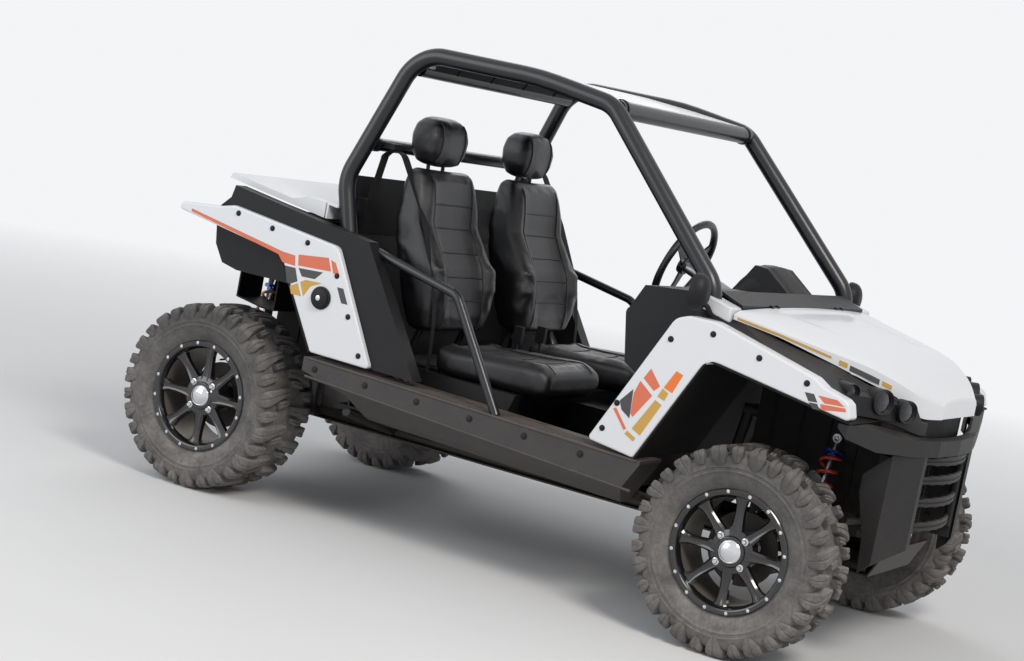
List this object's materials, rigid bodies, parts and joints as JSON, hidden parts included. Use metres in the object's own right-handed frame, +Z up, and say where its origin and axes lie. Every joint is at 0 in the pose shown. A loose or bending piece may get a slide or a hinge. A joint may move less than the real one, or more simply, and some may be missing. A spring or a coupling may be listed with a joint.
{
  "type": "dune buggy",
  "caption": "Open off-road dune buggy: tube roll cage, bucket seats side by side, lugged tyres, steered front wheels, opening hood and cargo lid.",
  "frame": {"origin": "on the ground below the middle of the vehicle's length and width", "axes": "+X forward, +Y to the driver's left, +Z up"},
  "size_m": [2.8386, 1.52, 1.6917],
  "materials": {
    "tyre": "dusty tread rubber",
    "rim_black": "gloss black",
    "frame_black": "satin black powder coat",
    "white_panel": "moulded-in gloss white",
    "black_panel": "grained black",
    "seat_black": "black vinyl",
    "steel": "bare steel",
    "cast_metal": "cast",
    "spring_red": "gloss red",
    "lamp": "clear lens over a dark bucket",
    "tail_red": "red lens"
  },
  "bodies": {
    "chassis": {"uprights_rear": "cast_metal", "control_arms": "frame_black", "coilovers": "spring_red", "half_shafts": "steel", "frame": "frame_black", "skid_plate": "cast_metal", "cage_right": "frame_black", "cage_left": "frame_black", "cage_crossbars": "frame_black", "roof": "white_panel", "sills": "black_panel", "floor_pan": "black_panel", "seat_base": "black_panel", "bulkhead": "black_panel", "seat_cushions": "seat_black", "seat_backs": "seat_black", "steering_column": "steel", "dash": "black_panel", "handrails": "frame_black", "controls": "steel", "fenders_front": "white_panel", "fenders_rear": "white_panel", "wheel_liners": "black_panel", "side_bands": "black_panel", "headlamps": "lamp", "cowl": "black_panel", "cowl_corners": "white_panel", "bumper": "black_panel", "grille": "black_panel", "radiator": "cast_metal", "box_sides": "black_panel", "cargo_tub": "black_panel", "rear_deck": "white_panel", "drivetrain": "cast_metal", "exhaust": "steel", "mirrors": "black_panel", "seat_belts": "black_panel", "tail_lamps": "tail_red"},
    "knuckle_right": {"knuckle_right": "cast_metal"},
    "knuckle_left": {"knuckle_left": "cast_metal"},
    "wheel_front_right": {"tyre_front_right": "tyre", "rim_front_right": "rim_black"},
    "wheel_front_left": {"tyre_front_left": "tyre", "rim_front_left": "rim_black"},
    "wheel_rear_right": {"tyre_rear_right": "tyre", "rim_rear_right": "rim_black"},
    "wheel_rear_left": {"tyre_rear_left": "tyre", "rim_rear_left": "rim_black"},
    "tie_rods": {"tie_rods": "steel"},
    "steering": {"steering_wheel": "black_panel"},
    "hood": {"hood": "white_panel"},
    "cargo_lid": {"cargo_lid": "white_panel"}
  },
  "joints": [
    {"name": "steer_right", "type": "hinge", "parent": "chassis", "child": "knuckle_right", "pos_m": [0.99, -0.545, 0.33], "axis": [0, 0, 1], "range_deg": [-30, 30]},
    {"name": "steer_left", "type": "hinge", "parent": "chassis", "child": "knuckle_left", "pos_m": [0.99, 0.545, 0.33], "axis": [0, 0, 1], "range_deg": [-30, 30]},
    {"name": "rack_slide", "type": "slide", "parent": "chassis", "child": "tie_rods", "axis": [0, 1, 0], "range_m": [-0.0551, 0.0551]},
    {"name": "steering_turn", "type": "hinge", "parent": "chassis", "child": "steering", "pos_m": [0.18, 0.33, 1.097], "axis": [-0.9397, 0, 0.342], "range_deg": [-270, 270]},
    {"name": "spin_front_right", "type": "hinge", "parent": "knuckle_right", "child": "wheel_front_right", "pos_m": [0.99, -0.6425, 0.33], "axis": [0, 1, 0], "continuous": true},
    {"name": "spin_front_left", "type": "hinge", "parent": "knuckle_left", "child": "wheel_front_left", "pos_m": [0.99, 0.6425, 0.33], "axis": [0, 1, 0], "continuous": true},
    {"name": "spin_rear_right", "type": "hinge", "parent": "chassis", "child": "wheel_rear_right", "pos_m": [-1.09, -0.6225, 0.33], "axis": [0, 1, 0], "continuous": true},
    {"name": "spin_rear_left", "type": "hinge", "parent": "chassis", "child": "wheel_rear_left", "pos_m": [-1.09, 0.6225, 0.33], "axis": [0, 1, 0], "continuous": true},
    {"name": "hood_hinge", "type": "hinge", "parent": "chassis", "child": "hood", "pos_m": [0.8055, 0, 1.063], "axis": [0, -1, 0], "range_deg": [0, 50]},
    {"name": "lid_hinge", "type": "hinge", "parent": "chassis", "child": "cargo_lid", "pos_m": [-0.762, 0, 1.093], "axis": [0, 1, 0], "range_deg": [0, 70]}
  ],
  "couplings": [
    {"joint": "steer_left", "follows": "steer_right", "ratio": 1},
    {"joint": "rack_slide", "follows": "steer_right", "m_per_rad": -0.10504},
    {"joint": "steering_turn", "follows": "steer_right", "ratio": 9}
  ]
}
